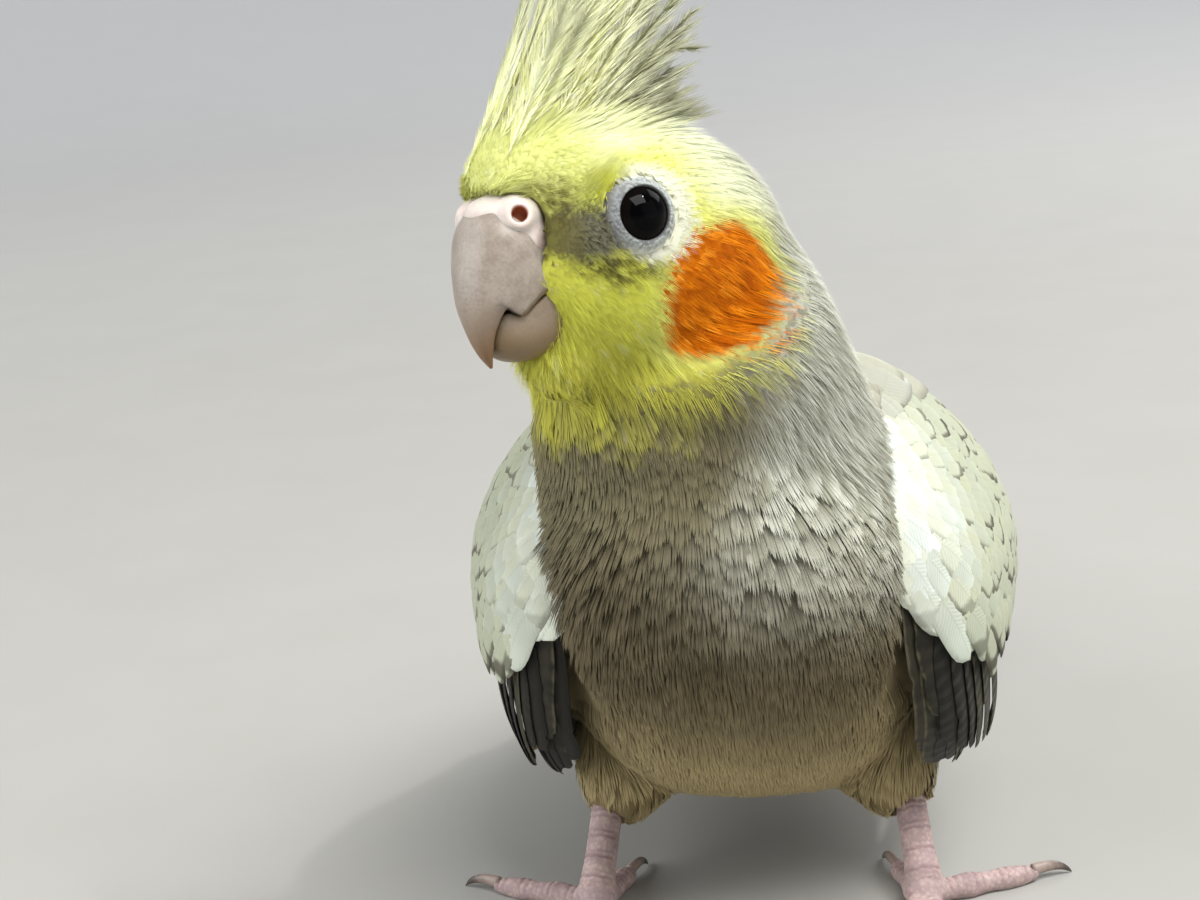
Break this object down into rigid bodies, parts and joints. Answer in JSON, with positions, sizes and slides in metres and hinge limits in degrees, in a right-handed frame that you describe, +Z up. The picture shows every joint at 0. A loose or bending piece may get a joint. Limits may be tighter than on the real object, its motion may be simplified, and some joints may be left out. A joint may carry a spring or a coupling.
{
  "type": "cockatiel",
  "caption": "Standing pearl cockatiel with raised crest, head turned to its right, folded wings and a long pointed tail resting on the floor.",
  "frame": {"origin": "on the floor, at the middle of the bird's length and width", "axes": "+Z up, -Y the way the body faces, +X the bird's left"},
  "size_m": [0.0766, 0.2382, 0.1329],
  "materials": {
    "face_feathers": "soft yellow face feathers, orange on the cheeks",
    "body_feathers": "soft taupe grey body feathers",
    "wing_feathers": "cream and grey scalloped wing feathers, dark barred quills",
    "tail_feathers": "pale yellow and grey barred tail feathers",
    "crest_feathers": "yellow crest feathers streaked with olive grey",
    "bill_horn": "satin horn, pinkish beige",
    "cere_skin": "pale pink bare skin",
    "eye_gloss": "glossy near black",
    "lid_skin": "grey lilac bare skin",
    "foot_skin": "scaly pinkish grey skin",
    "claw_horn": "satin dark horn"
  },
  "bodies": {
    "root": {"bill_lower": "bill_horn", "bill_upper": "bill_horn", "cere": "cere_skin", "claw_left_1": "claw_horn", "claw_left_2": "claw_horn", "claw_left_3": "claw_horn", "claw_left_4": "claw_horn", "claw_right_1": "claw_horn", "claw_right_2": "claw_horn", "claw_right_3": "claw_horn", "claw_right_4": "claw_horn", "crest": "crest_feathers", "eye_left": "eye_gloss", "eye_right": "eye_gloss", "foot_left": "foot_skin", "foot_right": "foot_skin", "head": "face_feathers", "lids_left": "lid_skin", "lids_right": "lid_skin", "neck": "body_feathers", "shank_left": "foot_skin", "shank_right": "foot_skin", "tail": "tail_feathers", "thigh_left": "body_feathers", "thigh_right": "body_feathers", "torso": "body_feathers", "wing_left": "wing_feathers", "wing_right": "wing_feathers"}
  },
  "joints": []
}
